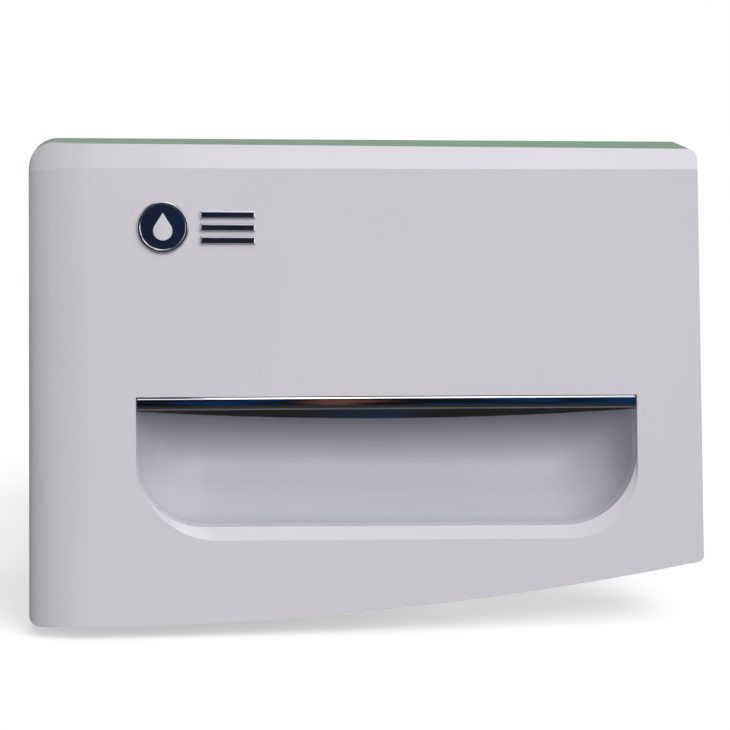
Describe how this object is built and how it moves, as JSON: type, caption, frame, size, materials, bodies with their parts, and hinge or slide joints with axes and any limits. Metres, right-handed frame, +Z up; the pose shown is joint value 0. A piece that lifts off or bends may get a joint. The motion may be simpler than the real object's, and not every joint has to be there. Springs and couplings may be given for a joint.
{
  "type": "washing machine detergent drawer",
  "caption": "Detergent drawer of a front-load washing machine: leaning gloss front with a recessed chromed grip, and a divided tray with siphon cap, liquid flap and release tab.",
  "frame": {"origin": "on the tray's mid-plane, on the plane where the front closes against the machine, on the undersides of the runners", "axes": "+X to the right of someone facing the front, +Y into the machine along the drawer's travel, +Z up"},
  "size_m": [0.2356, 0.2925, 0.1717],
  "materials": {
    "front_gloss": "injection-moulded white, high gloss",
    "pocket_gloss": "injection-moulded white, gloss",
    "bar_chrome": "bright chrome plating on plastic",
    "inner_plastic": "moulded white, matte",
    "screw_steel": "zinc plated",
    "adhesive_foam": "closed-cell foam tape",
    "emblem_gloss": "gloss navy",
    "mark_metal": "bright chrome",
    "mark_silver": "satin silver",
    "buffer_rubber": "moulded soft rubber",
    "tray_plastic": "moulded white, satin",
    "runner_plastic": "slippery grey plastic",
    "cap_plastic": "moulded blue, satin",
    "panel_plastic": "moulded pale blue, satin"
  },
  "bodies": {
    "drawer": {"front_panel": "front_gloss", "handle_pocket": "pocket_gloss", "pocket_screws": "screw_steel", "grip_bar": "bar_chrome", "grip_bar_core": "inner_plastic", "grip_bar_screws": "screw_steel", "emblem_tape": "adhesive_foam", "emblem_base": "emblem_gloss", "emblem_ring": "bar_chrome", "emblem_mark": "mark_silver", "badge_bars": "mark_metal", "front_frame": "inner_plastic", "frame_screws": "screw_steel", "stop_buffers": "buffer_rubber", "drip_seal": "buffer_rubber", "tray_body": "tray_plastic", "tray_screws": "screw_steel", "runner_left": "runner_plastic", "runner_right": "runner_plastic", "rear_stops": "runner_plastic", "release_pin": "screw_steel"},
    "siphon_cap": {"siphon_cap": "cap_plastic"},
    "liquid_panel": {"liquid_panel": "panel_plastic"},
    "release_tab": {"release_tab": "cap_plastic"}
  },
  "joints": [
    {"name": "softener_cap_lift", "type": "slide", "parent": "drawer", "child": "siphon_cap", "axis": [0, 0, 1], "range_m": [0, 0.045]},
    {"name": "liquid_panel_swing", "type": "hinge", "parent": "drawer", "child": "liquid_panel", "pos_m": [-0.04645, 0.13, 0.006], "axis": [-1, 0, 0], "range_deg": [0, 90]},
    {"name": "release_tab_press", "type": "hinge", "parent": "drawer", "child": "release_tab", "pos_m": [0.014, 0.208, -0.002], "axis": [-1, 0, 0], "range_deg": [0, 8], "stiffness_Nm_per_rad": 0.25, "springref_deg": -2.86}
  ]
}
